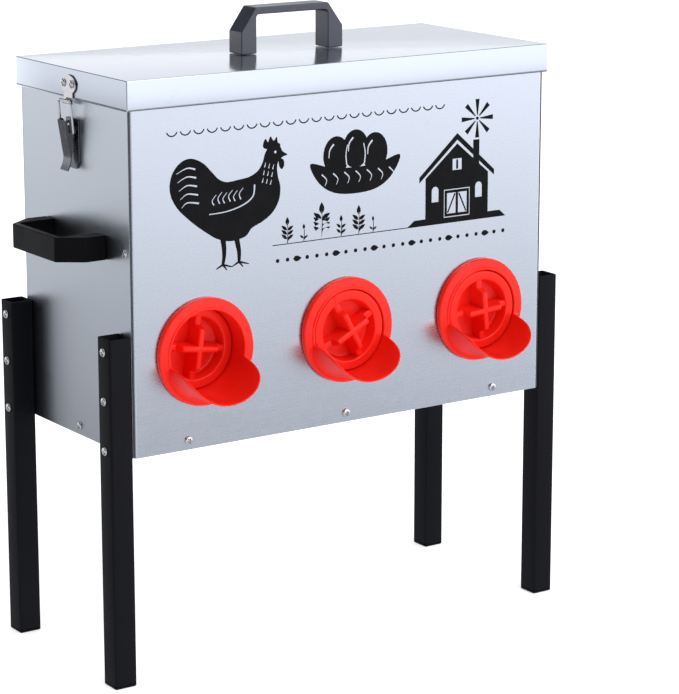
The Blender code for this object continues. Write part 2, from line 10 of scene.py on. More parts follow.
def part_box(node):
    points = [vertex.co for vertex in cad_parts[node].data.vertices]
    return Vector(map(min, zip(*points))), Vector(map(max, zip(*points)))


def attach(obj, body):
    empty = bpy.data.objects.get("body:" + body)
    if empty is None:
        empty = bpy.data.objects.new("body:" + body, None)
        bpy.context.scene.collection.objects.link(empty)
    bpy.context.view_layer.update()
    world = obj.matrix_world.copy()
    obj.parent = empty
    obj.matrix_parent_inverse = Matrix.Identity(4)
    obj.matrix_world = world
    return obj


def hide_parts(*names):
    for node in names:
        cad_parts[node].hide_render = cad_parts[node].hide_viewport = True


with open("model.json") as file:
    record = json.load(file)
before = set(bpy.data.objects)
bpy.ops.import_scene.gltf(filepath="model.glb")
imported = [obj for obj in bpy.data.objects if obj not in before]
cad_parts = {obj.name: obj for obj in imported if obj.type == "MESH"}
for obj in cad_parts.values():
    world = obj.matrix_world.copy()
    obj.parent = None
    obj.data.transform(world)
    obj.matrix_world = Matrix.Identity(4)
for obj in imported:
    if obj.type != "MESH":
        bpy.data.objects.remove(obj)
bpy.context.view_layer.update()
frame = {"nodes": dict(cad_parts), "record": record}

SIDES = (("left", -1), ("right", 1))
PORTS = ("left", "middle", "right")

# ---- places read from the frame ----
PANEL_LOW, PANEL_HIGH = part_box("front_panel")
HALF_WIDTH = PANEL_HIGH.x
FRONT = PANEL_LOW.y
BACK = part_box("back_panel")[1].y
MIDDLE = (FRONT + BACK) / 2
BODY_BOTTOM, WALL_TOP = PANEL_LOW.z, PANEL_HIGH.z
LID_LOW, LID_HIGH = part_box("lid")
GAP = 0.0003  # left between pieces that would touch
JOINTS = {entry["name"]: entry for entry in frame["record"]["behaviour"]["joints"]}


# ---- mesh helpers ----
def loft(rings, closed=False):
    """Skin over rings of equal length; closed joins the last to the first, instead of end caps."""
    shape = bmesh.new()
    rows = [[shape.verts.new(point) for point in ring] for ring in rings]
    pairs = list(zip(rows, rows[1:]))
    if closed:
        pairs.append((rows[-1], rows[0]))
    else:
        shape.faces.new(rows[0])
        shape.faces.new(rows[-1])
    for lower, upper in pairs:
        count = len(lower)
        for index in range(count):
            after = (index + 1) % count
            shape.faces.new((lower[index], lower[after], upper[after], upper[index]))
    return shape


def upright(u, v, w):
    """Place for an outline in plan that is extruded upwards."""
    return (u, v, w)


def arc(centre, radius, first, last, steps):
    """Points on an arc, both ends included; angles in degrees."""
    angles = [radians(first + (last - first) * index / steps) for index in range(steps + 1)]
    return [(centre[0] + radius * cos(angle), centre[1] + radius * sin(angle)) for angle in angles]


def rectangle(u0, v0, u1, v1):
    """Rectangle outline between two corners."""
    return [(u0, v0), (u1, v0), (u1, v1), (u0, v1)]


def rounded_rectangle(half_u, half_v, radius, steps=5):
    """Rectangle outline with round corners."""
    points = []
    for quarter, (sign_u, sign_v) in enumerate(((1, 1), (-1, 1), (-1, -1), (1, -1))):
        centre = (sign_u * (half_u - radius), sign_v * (half_v - radius))
        points += arc(centre, radius, 90 * quarter, 90 * quarter + 90, steps)
    return points


def fillet(outline, radii, steps=4):
    """Outline with its corners rounded: one radius for each point, 0 to leave it sharp."""
    points = []
    count = len(outline)
    for index, (corner, radius) in enumerate(zip(outline, radii)):
        here = Vector(corner)
        to_before = (Vector(outline[index - 1]) - here).normalized()
        to_after = (Vector(outline[(index + 1) % count]) - here).normalized()
        if radius == 0:
            points.append(here)
            continue
        half_angle = to_before.angle(to_after) / 2
        reach = radius / tan(half_angle)
        start, end = here + to_before * reach, here + to_after * reach
        centre = here + (to_before + to_after).normalized() * (radius / sin(half_angle))
        from_angle = atan2(start.y - centre.y, start.x - centre.x)
        to_angle = atan2(end.y - centre.y, end.x - centre.x)
        sweep = (to_angle - from_angle + pi) % tau - pi
        for step in range(steps + 1):
            angle = from_angle + sweep * step / steps
            points.append((centre.x + radius * cos(angle), centre.y + radius * sin(angle)))
    return points


def prism(outline, place, start, end):
    """Extrude an outline; place(u, v, w) gives the point in space."""
    return loft([[place(u, v, w) for u, v in outline] for w in (start, end)])


def turned(profile, place, segments):
    """Turn a (radius, w) profile about the w axis of place(u, v, w)."""
    rings = []
    for radius, w in profile:
        ring = arc((0, 0), radius, 0, 360 - 360 / segments, segments - 1)
        rings.append([place(u, v, w) for u, v in ring])
    return loft(rings)


def thicken(path, thickness):
    """Outline of a bent strip: the path on one side, and its mitred offset on the other."""
    normals, offset = [], []
    for (u0, v0), (u1, v1) in zip(path, path[1:]):
        length = hypot(u1 - u0, v1 - v0)
        normals.append(((v0 - v1) / length, (u1 - u0) / length))
    for index, (u, v) in enumerate(path):
        before = normals[max(index - 1, 0)]
        after = normals[min(index, len(normals) - 1)]
        scale = thickness / (1 + before[0] * after[0] + before[1] * after[1])
        offset.append((u + (before[0] + after[0]) * scale, v + (before[1] + after[1]) * scale))
    return list(path) + offset[::-1]


def smooth_line(points, steps=5, loop=False):
    """Catmull-Rom curve through points."""
    count = len(points)
    curve = []
    for index in range(count if loop else count - 1):
        near = [points[(index + shift) % count] if loop else points[min(max(index + shift, 0), count - 1)]
                for shift in (-1, 0, 1, 2)]
        for step in range(steps):
            t = step / steps
            weights = (-t ** 3 + 2 * t ** 2 - t, 3 * t ** 3 - 5 * t ** 2 + 2,
                       -3 * t ** 3 + 4 * t ** 2 + t, t ** 3 - t ** 2)
            curve.append(tuple(sum(w * p[axis] for w, p in zip(weights, near)) / 2
                               for axis in range(len(points[0]))))
    if not loop:
        curve.append(tuple(points[-1]))
    return curve


def wire(path, radius):
    """Round wire with closed ends, swept along a path in space."""
    points = [Vector(point) for point in path]
    rings, side, sides = [], None, 14
    for index, point in enumerate(points):
        ahead = points[min(index + 1, len(points) - 1)] - points[max(index - 1, 0)]
        ahead.normalize()
        if side is None:
            side = ahead.orthogonal()
        side = (side - ahead * side.dot(ahead)).normalized()
        other = ahead.cross(side)
        rings.append([point + side * (radius * cos(tau * k / sides))
                      + other * (radius * sin(tau * k / sides)) for k in range(sides)])
    return loft(rings)


def link(name, data):
    """Put data in the scene as an object."""
    made = bpy.data.objects.new(name, data)
    bpy.context.scene.collection.objects.link(made)
    return made


def solid(name, shape):
    """Put a shape in the scene as a smooth-shaded object."""
    bmesh.ops.remove_doubles(shape, verts=shape.verts, dist=1e-7)
    bmesh.ops.recalc_face_normals(shape, faces=shape.faces)
    data = bpy.data.meshes.new(name)
    shape.to_mesh(data)
    shape.free()
    data.shade_smooth()
    return link(name, data)


def baked(made):
    """Mesh of an object or curve, with its modifiers."""
    return bpy.data.meshes.new_from_object(made.evaluated_get(bpy.context.evaluated_depsgraph_get()))


def apply_modifiers(made):
    """Bake an object's modifiers into its mesh."""
    data = baked(made)
    made.modifiers.clear()
    made.data = data


def combine(made, shape, operation):
    """Join a shape to an object, or cut it out, and bake the result."""
    tool = solid("tool", shape)
    step = made.modifiers.new("combine", "BOOLEAN")
    step.operation, step.object = operation, tool
    apply_modifiers(made)
    bpy.data.objects.remove(tool)


def soften(made, width, segments=3, angle=30):
    """Round an object's edges, and keep its flat faces flat."""
    step = made.modifiers.new("edges", "BEVEL")
    step.width = width
    step.segments = segments
    step.limit_method = "ANGLE"
    step.angle_limit = radians(angle)
    weights = made.modifiers.new("normals", "WEIGHTED_NORMAL")
    weights.keep_sharp = True
    apply_modifiers(made)


def piece(name, made, material, body, slot, *nodes, sharp=None):
    """Finish a shape or object as a piece that rides on a body and stands for CAD nodes."""
    if not isinstance(made, bpy.types.Object):
        made = solid(name, made)
    made.name = name
    made.data.materials.clear()
    made.data.materials.append(material)
    if sharp:
        made.data.set_sharp_from_angle(angle=radians(sharp))
    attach(made, body)
    if nodes:
        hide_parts(*nodes)
    return made


# ---- materials ----
class Graph:
    """A small builder for a node tree."""

    def __init__(self, tree):
        self.tree = tree

    def feed(self, socket, value):
        """Link a socket to a socket, or set its value."""
        if isinstance(value, bpy.types.NodeSocket):
            self.tree.links.new(value, socket)
        else:
            socket.default_value = value

    def node(self, kind, **inputs):
        """Add a shader node; an underscore in an input's name stands for a space."""
        made = self.tree.nodes.new("ShaderNode" + kind)
        for key, value in inputs.items():
            self.feed(made.inputs[key.replace("_", " ")], value)
        return made

    def remap(self, value, low, high, start=0.0, end=1.0):
        """Value from start to end, turned into low to high and clamped."""
        return self.node("MapRange", Value=value, From_Min=start, From_Max=end,
                         To_Min=low, To_Max=high).outputs["Result"]

    def math(self, operation, first, second):
        """One sum on two values."""
        made = self.node("Math")
        made.operation = operation
        self.feed(made.inputs[0], first)
        self.feed(made.inputs[1], second)
        return made.outputs[0]

    def add(self, first, *others):
        """Values added up."""
        for other in others:
            first = self.math("ADD", first, other)
        return first

    def times(self, first, second):
        """Two values multiplied."""
        return self.math("MULTIPLY", first, second)


class Surface(Graph):
    """The node tree of one material, on object coordinates."""

    def __init__(self, name, **inputs):
        self.material = bpy.data.materials.new(name)
        self.material.use_nodes = True
        super().__init__(self.material.node_tree)
        self.shader = self.tree.nodes["Principled BSDF"]
        for key, value in inputs.items():
            self.shader.inputs[key.replace("_", " ")].default_value = value
        self.place = self.node("TexCoord").outputs["Object"]

    def stretched(self, scale):
        """Object coordinates stretched by a scale for each axis."""
        return self.node("Mapping", Vector=self.place, Scale=scale).outputs["Vector"]

    def noise(self, scale, detail=3.0, roughness=0.5, vector=None):
        """Soft noise."""
        return self.node("TexNoise", Scale=scale, Detail=detail, Roughness=roughness,
                         Vector=vector or self.place).outputs["Fac"]

    def patches(self, scale, low, high, detail=6.0, roughness=0.7):
        """Separate patches: noise that is 0 up to low and 1 from high."""
        return self.remap(self.noise(scale, detail, roughness), 0.0, 1.0, low, high)

    def cells(self, scale):
        """Crystal cells, each with its own grey."""
        made = self.node("TexVoronoi", Scale=scale, Vector=self.place)
        return self.node("RGBToBW", Color=made.outputs["Color"]).outputs["Val"]

    def mix(self, factor, first, second):
        """Two colours mixed."""
        made = self.node("Mix")
        made.data_type = "RGBA"
        for socket, value in (("Factor", factor), ("A", first), ("B", second)):
            self.feed(made.inputs[socket], value)
        return made.outputs["Result"]

    def edges(self):
        """1 on outward edges and 0 on flat faces."""
        geometry = self.node("NewGeometry")
        return self.remap(geometry.outputs["Pointiness"], 0.0, 1.0, 0.505, 0.56)

    def around(self, value, middle, spread):
        """A value near middle, that follows the middle part of a noise."""
        return self.remap(value, middle - spread, middle + spread, 0.3, 0.7)

    def finish(self, colour, roughness, height, strength, distance):
        """Feed the shader, and return the material."""
        bump = self.node("Bump", Height=height, Strength=strength, Distance=distance)
        for socket, value in (("Base Color", colour), ("Roughness", roughness),
                              ("Normal", bump.outputs["Normal"])):
            self.feed(self.shader.inputs[socket], value)
        return self.material


def shade(colour, factor):
    """A colour made lighter or darker."""
    return tuple(min(1.0, channel * factor) for channel in colour[:3]) + (1.0,)


def galvanised(name, colour, roughness, grain=(3.0, 3.0, 160.0), spangle=0.02):
    """Zinc-coated sheet: faint crystal cells, rolling grain, soft clouds, small scuffs, and a painted
    highlight along its edges.
    """
    made = Surface(name, Metallic=1.0)
    clouds = made.noise(4.0, 2.0)
    cells = made.cells(110.0)
    fine = made.noise(6.0, 4.0, 0.6, made.stretched(grain))
    scuffs = made.patches(38.0, 0.62, 0.72)
    level = made.add(0.5, made.around(clouds, 0.0, 0.05), made.remap(cells, -spangle, spangle),
                     made.around(fine, 0.0, 0.03))
    body = made.mix(level, shade(colour, 0.80), shade(colour, 1.2))
    body = made.mix(made.times(scuffs, 0.06), body, shade(colour, 0.75))
    # Lighter colour along the edges: painted edge highlight.
    body = made.mix(made.times(made.edges(), 0.5), body, shade(colour, 1.15))
    rough = made.add(made.around(fine, roughness, 0.02), made.remap(cells, -0.01, 0.015),
                     made.times(scuffs, 0.04))
    height = made.add(made.times(cells, 0.01), made.times(clouds, 1.5))
    return made.finish(body, rough, height, 0.035, 0.0005)


def powder_coat(name, colour, roughness):
    """Satin black coating: orange-peel texture, dust on it, and a painted highlight along the edges."""
    made = Surface(name, Specular_IOR_Level=0.05)
    peel = made.noise(900.0, 3.0, 0.55)
    dust = made.patches(45.0, 0.5, 0.8, 6.0, 0.65)
    body = made.mix(made.times(dust, 0.25), colour, shade(colour, 2.6))
    # Much lighter colour along the edges: painted edge highlight.
    body = made.mix(made.times(made.edges(), 0.35), body, shade(colour, 5.0))
    rough = made.add(made.around(peel, roughness, 0.05), made.times(dust, 0.10))
    return made.finish(body, rough, peel, 0.25, 0.0004)


def moulded(name, colour, roughness, texture, depth, lift=1.35, **inputs):
    """Injection-moulded plastic: fine mould texture, slow gloss variation, rubbed patches that are less
    glossy, with a painted highlight on the edges inside them.
    """
    made = Surface(name, **inputs)
    grain = made.noise(texture, 3.0, 0.6)
    flow = made.noise(14.0, 3.0, 0.55)
    rubbed_wear_and_highlight = made.patches(70.0, 0.45, 0.7, 5.0)
    body = made.mix(made.remap(flow, 0.0, 1.0, 0.3, 0.7), shade(colour, 0.93), shade(colour, 1.06))
    # Edges lightened within the rubbed patches, by the lift factor: painted edge highlight.
    body = made.mix(made.times(made.times(made.edges(), rubbed_wear_and_highlight), 0.5), body, shade(colour, lift))
    rough = made.add(made.around(flow, roughness, 0.05), made.times(rubbed_wear_and_highlight, 0.05))
    return made.finish(body, rough, made.add(made.times(grain, 0.5), flow), 0.12, depth)


def plated(name, colour, roughness):
    """Plated steel: drawn grain, stains, fine scratches and a painted highlight along its edges."""
    made = Surface(name, Metallic=1.0)
    drawn = made.noise(40.0, 4.0, 0.6, made.stretched((14.0, 14.0, 1.5)))
    stains = made.patches(160.0, 0.5, 0.75, 5.0)
    body = made.mix(made.times(stains, 0.35), colour, shade(colour, 0.62))
    # Lighter colour along the edges: painted edge highlight.
    body = made.mix(made.times(made.edges(), 0.4), body, shade(colour, 1.25))
    rough = made.add(made.remap(drawn, roughness - 0.05, roughness + 0.08, 0.3, 0.7),
                     made.times(stains, 0.12))
    return made.finish(body, rough, drawn, 0.10, 0.0003)


def ink(name, colour, roughness):
    """Screen-printed ink: slightly uneven cover with a soft sheen."""
    made = Surface(name, Specular_IOR_Level=0.1)
    screen = made.noise(520.0, 2.0)
    body = made.mix(made.patches(60.0, 0.4, 0.75, 4.0, 0.6), colour, shade(colour, 2.2))
    return made.finish(body, made.around(screen, roughness, 0.06), screen, 0.15, 0.0001)


SHEET = galvanised("galvanised_sheet", (0.51, 0.54, 0.596, 1.0), 0.27)
SIDE_SHEET = galvanised("galvanised_side_sheet", (0.46, 0.49, 0.525, 1.0), 0.30, (160.0, 3.0, 160.0))
LID_SHEET = galvanised("bright_lid_sheet", (0.455, 0.485, 0.535, 1.0), 0.15, (3.0, 90.0, 3.0), 0.008)
# Near-black strip down each corner seam: painted shadow of the groove between the folded panel edges.
SEAM_SHADOW = moulded("painted_seam_shadow", (0.05, 0.052, 0.06, 1.0), 0.6, 400.0, 0.0003)
POWDER = powder_coat("black_powder_coat", (0.0030, 0.0031, 0.0040, 1.0), 0.5)
# Lid handle's black plastic: a lighter, bluish copy of DULL_BLACK's, with the blue-grey sheen of the lit
# handle painted into its colour.
SHEEN_BLACK = moulded("black_plastic", (0.020, 0.022, 0.040, 1.0), 0.36, 700.0, 0.0003, 1.8,
                Specular_IOR_Level=0.8)
DULL_BLACK = moulded("dull_black_plastic", (0.003, 0.003, 0.0035, 1.0), 0.46, 700.0, 0.0003, 1.8,
                     Specular_IOR_Level=0.06)
RED = moulded("red_plastic", (0.88, 0.016, 0.008, 1.0), 0.22, 300.0, 0.0003, 1.1, Specular_IOR_Level=0.21)
STEEL = plated("plated_steel", (0.55, 0.55, 0.56, 1.0), 0.15)
# Plated steel darkened for the latch base and lever: painted shade and painted dark reflections.
SHADED_STEEL = plated("plated_steel_in_painted_shade", (0.13, 0.13, 0.14, 1.0), 0.17)
INK = ink("black_ink", (0.002, 0.002, 0.0023, 1.0), 0.5)


# ---- hopper ----
SEAM_SHADOW_WIDTH = 0.0016  # width of the dark strip down each front and back corner: painted shadow of the groove at the folded seam
SHEET_THICKNESS = 0.0008
FOLD = 0.0022  # radius of the front and back panels' folded edges
FOLDED_BACK = 0.014  # how far those edges run back along the sides
PORT_HOLE = 0.0469  # radius of the front panel's holes
SIDE_INSET = 0.0024  # side panel's edge, in from the front and back


def build_front_and_back():
    """Front and back panels between their corner seams, with round port holes in the front, and
    near-black strips down the seams that paint the shadow of their grooves.
    """
    half = HALF_WIDTH - SEAM_SHADOW_WIDTH
    for name, face, inward in (("front_panel", FRONT, 1), ("back_panel", BACK, -1)):
        right = arc((half - FOLD, face + inward * FOLD), FOLD, -90 * inward, 0, 6)
        right.append((half, face + inward * FOLDED_BACK))
        line = [(-u, v) for u, v in reversed(right)] + right
        made = solid(name, prism(thicken(line, inward * SHEET_THICKNESS), upright, BODY_BOTTOM, WALL_TOP))
        if name == "front_panel":
            for port in PORTS:
                low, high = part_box(f"{port}_port")
                centre = (low + high) / 2
                hole = turned([(PORT_HOLE, -0.01), (PORT_HOLE, 0.01)],
                              lambda u, v, w: (centre.x + u, FRONT + w, centre.z + v), 96)
                combine(made, hole, "DIFFERENCE")
        piece(f"{name}_sheet", made, SHEET, "hopper", "galvanised_sheet", name, sharp=30)

    # Near-black strips down the corner seams: painted shadow of the grooves there.
    for side, sign in SIDES:
        near, far = sign * (HALF_WIDTH - SEAM_SHADOW_WIDTH + 0.0001), sign * (HALF_WIDTH - 0.0004)
        for end, face, inward in (("front", FRONT, 1), ("rear", BACK, -1)):
            shallow, deep = face + inward * 0.0007, face + inward * 0.004
            made = solid("seam", prism(rectangle(near, shallow, far, deep), upright,
                                       BODY_BOTTOM + 0.0005, WALL_TOP - 0.0005))
            soften(made, 0.0004, 2)
            piece(f"{side}_{end}_corner_seam_shadow", made, SEAM_SHADOW, "hopper", "galvanised_sheet")


def build_sides():
    """Side panels, with softened edges."""
    for side, sign in SIDES:
        low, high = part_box(f"{side}_side_panel")
        x0, x1 = sorted((sign * HALF_WIDTH, sign * (HALF_WIDTH - SHEET_THICKNESS)))
        outline = rectangle(FRONT + SIDE_INSET, low.z, BACK - SIDE_INSET, high.z)
        made = solid("side", prism(outline, lambda u, v, w: (w, u, v), x0, x1))
        soften(made, 0.0003, 2)
        piece(f"{side}_side_sheet", made, SIDE_SHEET, "hopper", "galvanised_sheet", f"{side}_side_panel")


def box_rings(centre, halves, corner, least, steps, profile):
    """Level rings of a box with round upright edges, from a profile of insets and heights."""
    rings = []
    for inset, height in profile:
        outline = rounded_rectangle(halves[0] - inset, halves[1] - inset,
                                    max(corner - inset, least), steps)
        rings.append([(centre[0] + u, centre[1] + v, height) for u, v in outline])
    return rings


def build_lid():
    """Lid pressed from bright sheet: round top edge, folded corners and a rolled hem."""
    top, bottom = LID_HIGH.z, LID_LOW.z
    wall, edge, hem = 0.0008, 0.0010, 0.0005
    inside = hem + wall
    rolled = inside + 0.0004
    profile = [(inside, top - wall), (inside, bottom + 0.0022), (rolled, bottom + 0.0018),
               (rolled, bottom + 0.0006), (hem + wall / 2, bottom), (hem * 0.5, bottom + 0.0001),
               (0.0, bottom + 0.0005), (0.0, bottom + 0.0014), (hem, bottom + 0.0019), (hem, top - edge)]
    for turn in (20, 45, 70):
        profile.append((hem + edge - edge * cos(radians(turn)),
                        top - edge + edge * sin(radians(turn))))
    profile.append((hem + edge, top))
    halves = (LID_HIGH.x, (LID_HIGH.y - LID_LOW.y) / 2)
    piece("lid_shell", loft(box_rings((0.0, MIDDLE), halves, 0.0018, 0.0006, 5, profile)), LID_SHEET,
          "lid", "galvanised_sheet", "lid", sharp=40)


# ---- handles ----
def handle_outline():
    """Side view of the bow handle, its feet on v = 0, with rounded corners."""
    low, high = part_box("lid_handle")
    half, height = (high.x - low.x) / 2, high.z - low.z
    post, bar = 0.0185, 0.0075
    inner, ceiling = half - post, height - bar
    right = [(inner, 0), (half, 0), (half, height - 0.025), (half - 0.018, height)]
    outline = right + [(-u, v) for u, v in reversed(right)] + [(-inner, ceiling), (inner, ceiling)]
    radii = [0, 0, 0.003, 0.0035, 0.0035, 0.003, 0, 0, 0.0035, 0.0035]
    return fillet(outline, radii)


def build_handles():
    """Three bow handles: one along the lid, and one on each side."""
    low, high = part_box("lid_handle")
    depth = (high.y - low.y) / 2
    # The lid handle takes the black plastic with painted sheen; the side handles take the plain one.
    places = [("lid_handle", "lid", SHEEN_BLACK, lambda u, v, w: (u, MIDDLE + w, low.z + v))]
    for side, sign in SIDES:
        box_low, box_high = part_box(f"{side}_handle")
        foot = box_high.x if sign < 0 else box_low.x
        middle = (box_low.z + box_high.z) / 2

        def on_side(u, v, w, sign=sign, foot=foot, middle=middle):
            return (foot + sign * v, MIDDLE + u, middle + w)
        places.append((f"{side}_handle", "hopper", DULL_BLACK, on_side))
    for name, body, black, place in places:
        made = solid(name, prism(handle_outline(), place, -depth, depth))
        soften(made, 0.0011, 3, 50)
        piece(f"{name}_moulding", made, black, body, "black_plastic", name)


# ---- legs ----
def build_legs():
    """Rolled square tubes with open tops, on moulded plug feet."""
    wall, soft = 0.0015, 0.0003
    for leg in [f"{side}_{end}" for side, _ in SIDES for end in ("front", "rear")]:
        low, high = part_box(f"{leg}_leg")
        square = ((low + high) / 2, [(high.x - low.x) / 2] * 2, 0.0025, 0.0008, 4)
        profile = [(soft, low.z), (0, low.z + soft), (0, high.z - soft), (soft, high.z),
                   (wall - soft, high.z), (wall, high.z - soft), (wall, low.z + soft),
                   (wall - soft, low.z)]
        piece(f"{leg}_tube", loft(box_rings(*square, profile), closed=True), POWDER, "hopper",
              "black_coated_steel", f"{leg}_leg", sharp=50)

        foot_low, foot_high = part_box(f"{leg}_foot")
        lip = low.z - GAP
        plug = wall + GAP
        profile = [(0.0012, foot_low.z), (0.0003, foot_low.z + 0.0006), (0, foot_low.z + 0.0014),
                   (0, lip - 0.0003), (0.0003, lip), (plug, lip), (plug, foot_high.z - 0.001),
                   (plug + 0.001, foot_high.z)]
        piece(f"{leg}_plug_foot", loft(box_rings(*square, profile)), DULL_BLACK, "hopper",
              "black_plastic", f"{leg}_foot", sharp=50)


# ---- screws ----
HEAD_HEIGHT = 0.0025


def screw_master(length):
    """Pan-head cross-recess screw along +Z, with its head's underside at z = 0."""
    thread = [(0.0016, -length)]
    turns = max(4, round(length / 0.0011))
    for turn in range(turns):
        height = -length + 0.0008 + (length - 0.0012) * turn / turns
        thread += [(0.0016, height), (0.0020, height + 0.0004)]
    head = [(0.0018, 0.0), (0.0043, 0.0), (0.0045, 0.0003), (0.0045, 0.0008), (0.0043, 0.0013),
            (0.0037, 0.0018), (0.0028, 0.0022), (0.0016, HEAD_HEIGHT - 0.0001), (0.0005, HEAD_HEIGHT)]
    made = solid("screw", turned(thread + head, upright, 24))
    for half_u, half_v in ((0.0022, 0.00045), (0.00045, 0.0022)):
        top = rectangle(-half_u, -half_v, half_u, half_v)
        slot = loft([[(u, v, HEAD_HEIGHT + 0.001) for u, v in top],
                     [(u, v, HEAD_HEIGHT - 0.0004) for u, v in top],
                     [(u * 0.4, v * 0.8, HEAD_HEIGHT - 0.0015) for u, v in top]])
        combine(made, slot, "DIFFERENCE")
    soften(made, 0.00008, 1, 40)
    data = made.data
    bpy.data.objects.remove(made)
    return data


def place_screw(name, data, point, outward, spin, body, *nodes):
    """Set a copy of a screw with its head's underside at point."""
    turn = Vector(outward).to_track_quat("Z", "Y").to_matrix().to_4x4()
    copy = data.copy()
    copy.transform(Matrix.Translation(point) @ turn @ Matrix.Rotation(spin, 4, "Z"))
    piece(name, link(name, copy), STEEL, body, "bright_steel", *nodes)


def build_screws():
    """All the CAD's screws, and the back panel's, which it doesn't have."""
    masters = {}
    for count, name in enumerate(sorted(name for name in frame["nodes"] if "_screw" in name), 1):
        low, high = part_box(name)
        centre = (low + high) / 2
        size = high - low
        if size.x > size.y:
            outward = (copysign(1, centre.x), 0, 0)
            tip = high.x if centre.x > 0 else low.x
            point = (tip - outward[0] * HEAD_HEIGHT, centre.y, centre.z)
        else:
            outward = (0, -1, 0)
            point = (centre.x, low.y + HEAD_HEIGHT, centre.z)
        length = round(max(size.x, size.y) - HEAD_HEIGHT, 3)
        if length not in masters:
            masters[length] = screw_master(length)
        place_screw(f"{name}_cross_head", masters[length], point, outward, count * 2.4, "hopper", name)

    short = screw_master(0.0035)
    for number, step in enumerate((-1, 0, 1), 1):
        point = (step * 0.192, BACK + GAP / 2, BODY_BOTTOM + 0.010)
        place_screw(f"back_screw_{number}", short, point, (0, 1, 0), number * 1.7, "hopper")


# ---- ports ----
BORE = 0.043
TUBE = 0.0465
FLANGE = 0.0555
FLANGE_THICKNESS = 0.0062
FLANGE_ROUND = 0.0026  # radius of the flange's outer edge
RIM = 0.0075
SCOOP_START = 0.23  # sine of the angle below the port's axis where the scoop begins
SCOOP_FULLNESS = 2.55
SCOOP_FLARE = 0.001
WALL_TAPER = 0.0012  # how much thinner the scoop's wall is at its tip
PORT_SEGMENTS = 192
CAP_TURNS = {"left": -8.0, "middle": 28.0, "right": 5.0}
GRIP_RISE = 0.0085  # height of the raised cross above the cap's face


def port_centre(port):
    """X and Z of a port's axis."""
    low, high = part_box(f"{port}_lock_ring")
    return (low.x + high.x) / 2, (low.z + high.z) / 2


def scoop_share(angle, least):
    """Reach of the rim at an angle, as a share of the scoop's: a low lip above, a full scoop below."""
    drop = max(0.0, (-sin(angle) - SCOOP_START) / (1 - SCOOP_START))
    scoop = sqrt(1 - (1 - drop) ** SCOOP_FULLNESS)
    return (least ** 8 + scoop ** 8) ** 0.125


def build_port(port):
    """Flange, tube and feeding scoop in one moulding, with a rounded lip and a filleted foot."""
    x, z = port_centre(port)
    low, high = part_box(f"{port}_port")
    reach = FRONT - low.y
    back = FRONT - high.y

    def ring(profile):
        """Ring whose radius and reach are profile(share, flare) at each angle."""
        points = []
        for index in range(PORT_SEGMENTS):
            angle = tau * index / PORT_SEGMENTS
            share = min(1.0, scoop_share(angle, RIM / reach))
            radius, out = profile(share, share * (SCOOP_FLARE * cos(angle) ** 2 + WALL_TAPER))
            points.append((x + radius * cos(angle), FRONT - out, z + radius * sin(angle)))
        return points

    def plain(radius, out):
        return ring(lambda share, flare: (radius, out))

    def wall(share):
        return 0.0030 - WALL_TAPER * share

    def inside(height):
        return ring(lambda share, flare: (BORE + flare * height, (share * reach - 0.001) * height))

    def lip(turn):
        """Ring on the lip's half-round edge, from 0 inside to 180 outside."""
        across, rise = (1 - cos(radians(turn))) / 2, sin(radians(turn))
        return ring(lambda share, flare: (BORE + flare + wall(share) * across,
                                          share * reach - 0.001 + 0.001 * rise))

    def outside(t):
        """Ring on the outer wall, from the lip at 0 to the flange at 1, where it sweeps outwards."""
        def profile(share, flare):
            top = share * reach - 0.001
            start = BORE + flare + wall(share)
            foot = TUBE + (FLANGE - 0.0028 - TUBE) * max(0.0, share - RIM / reach)
            out = FLANGE_THICKNESS + (top - FLANGE_THICKNESS) * (1 - t) ** 1.35
            return start + (foot - start) * t ** 2.2, out
        return ring(profile)

    rings = [plain(BORE, back), plain(BORE, back * 0.4), plain(BORE, 0.0)]
    rings += [inside(height) for height in (0.25, 0.5, 0.75)]
    rings += [lip(turn) for turn in (0, 30, 60, 90, 120, 150, 180)]
    rings += [outside(step / 9) for step in range(1, 10)]
    for turn in (5, 30, 60, 90):
        rings.append(plain(FLANGE - FLANGE_ROUND + FLANGE_ROUND * sin(radians(turn)),
                           FLANGE_THICKNESS - FLANGE_ROUND + FLANGE_ROUND * cos(radians(turn))))
    rings += [plain(FLANGE, GAP + 0.0003), plain(FLANGE - 0.0003, GAP), plain(TUBE, GAP),
              plain(TUBE, back)]
    piece(f"{port}_port_moulding", loft(rings, closed=True), RED, "hopper", "red_plastic",
          f"{port}_port", sharp=50)


def grip_bar(place, floor):
    """One bar of the cross grip: flush with the cap's ring at its ends, and raised in the middle."""
    half_length, raised = 0.0345, 0.0215
    ends, step = -0.0012, 0.0035
    rings = []
    for u in (-1.0, -0.85, -0.75, -0.70, -0.67, -0.645, -0.62, -0.59, -0.50, 0.0,
              0.50, 0.59, 0.62, 0.645, 0.67, 0.70, 0.75, 0.85, 1.0):
        along = abs(u) * half_length
        inward = min(1.0, max(0.0, (raised + step / 2 - along) / step))
        rise = sin(inward * pi / 2) ** 0.7
        top = ends + (GRIP_RISE - ends) * rise
        half = 0.0038 - 0.0006 * rise
        section = [(-0.0052, floor), (0.0052, floor), (0.0040, ends - 0.003), (half, top), (-half, top),
                   (-0.0040, ends - 0.003)]
        outline = fillet(section, [0, 0, 0.004, 0.0027, 0.0027, 0.004], 6)
        rings.append([place(half_length * u, v, w) for v, w in outline])
    return loft(rings)


